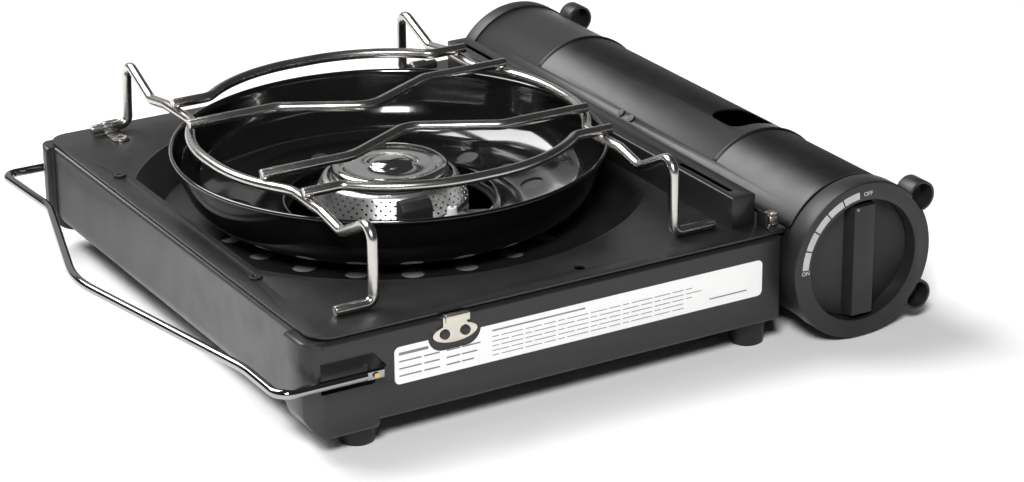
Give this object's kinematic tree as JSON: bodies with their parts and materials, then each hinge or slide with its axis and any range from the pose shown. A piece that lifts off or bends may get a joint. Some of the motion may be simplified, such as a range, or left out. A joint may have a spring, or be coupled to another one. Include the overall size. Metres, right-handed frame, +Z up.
{
  "type": "camping stove",
  "caption": "Black portable gas stove with wire trivet, round drip pan, side cartridge compartment with dial knob, and a wire carry handle.",
  "frame": {"origin": "centre of the bounding box at floor level, under the feet", "axes": "+X right, towards the cartridge compartment; +Y back; +Z up. The knob and the label face -Y"},
  "size_m": [0.4298, 0.3771, 0.1131],
  "materials": {
    "black_coat": "satin",
    "black_steel": "satin",
    "rubber_black": "matte",
    "zinc_steel": "satin",
    "black_enamel": "gloss",
    "cast_metal": "matte",
    "bright_steel": "gloss",
    "pressed_steel": "satin",
    "brass_metal": "satin",
    "aluminium_pipe": "satin",
    "white_ceramic": "satin",
    "dark_steel": "satin",
    "black_plastic": "satin",
    "lead_jacket": "satin",
    "silver_print": "satin",
    "nickel_plate": "gloss",
    "white_label": "satin",
    "stainless_wire": "satin",
    "chrome_wire": "gloss"
  },
  "bodies": {
    "stove_body": {"casing": "black_coat", "top_plate": "black_coat", "plate_skirt": "black_coat", "recess_wall": "black_coat", "recess_floor": "black_coat", "plate_screws": "black_steel", "rubber_feet": "rubber_black", "foot_screws": "zinc_steel", "drip_pan_wall": "black_enamel", "drip_pan_floor": "black_enamel", "burner_body": "cast_metal", "burner_band": "bright_steel", "burner_cap": "bright_steel", "mixing_tube": "pressed_steel", "gas_nozzle": "brass_metal", "gas_pipe": "aluminium_pipe", "electrode_ceramic": "white_ceramic", "electrode_wire": "zinc_steel", "electrode_bracket": "zinc_steel", "electrode_guard": "dark_steel", "piezo_igniter": "black_plastic", "igniter_lead": "lead_jacket", "cartridge_tray": "black_coat", "tray_rivets": "zinc_steel", "cartridge_seat": "zinc_steel", "governor": "cast_metal", "cartridge_stop": "zinc_steel", "front_ring": "black_plastic", "rear_cap": "black_plastic", "dial_segments": "silver_print", "partition_rail": "black_coat", "earth_bracket": "black_steel", "bracket_screw": "nickel_plate", "label_plate": "white_label", "catch_plate": "nickel_plate", "catch_rivets": "black_steel", "trivet_clip_left": "stainless_wire", "trivet_clip_right": "stainless_wire", "clip_eyelets": "stainless_wire", "handle_rivets": "brass_metal", "base_hinge_leaf": "zinc_steel", "hinge_pin": "zinc_steel"},
    "trivet": {"trivet_side_left": "stainless_wire", "trivet_side_right": "stainless_wire", "trivet_rod_front": "stainless_wire", "trivet_rod_back": "stainless_wire", "trivet_rod_middle_front": "stainless_wire", "trivet_rod_middle_back": "stainless_wire"},
    "handle": {"carry_handle": "chrome_wire"},
    "dial_knob": {"knob": "black_plastic", "knob_spindle": "zinc_steel", "knob_dot": "silver_print"},
    "cover": {"cartridge_cover": "black_coat", "cover_rivets": "black_steel", "cover_hinge_leaf": "zinc_steel"}
  },
  "joints": [
    {"name": "trivet_swing", "type": "hinge", "parent": "stove_body", "child": "trivet", "pos_m": [-0.025, 0.1575, 0.07135], "axis": [-1, 0, 0], "range_deg": [0, 85]},
    {"name": "cover_swing", "type": "hinge", "parent": "stove_body", "child": "cover", "pos_m": [0.1186, 0.003, 0.0708], "axis": [0, -1, 0], "range_deg": [0, 80]},
    {"name": "handle_swing", "type": "hinge", "parent": "stove_body", "child": "handle", "pos_m": [-0.1316, 0, 0.04515], "axis": [0, 1, 0.0065], "range_deg": [0, 14]},
    {"name": "knob_turn", "type": "hinge", "parent": "stove_body", "child": "dial_knob", "pos_m": [0.1637, -0.18, 0.0459], "axis": [0, -1, 0], "range_deg": [0, 90]}
  ]
}
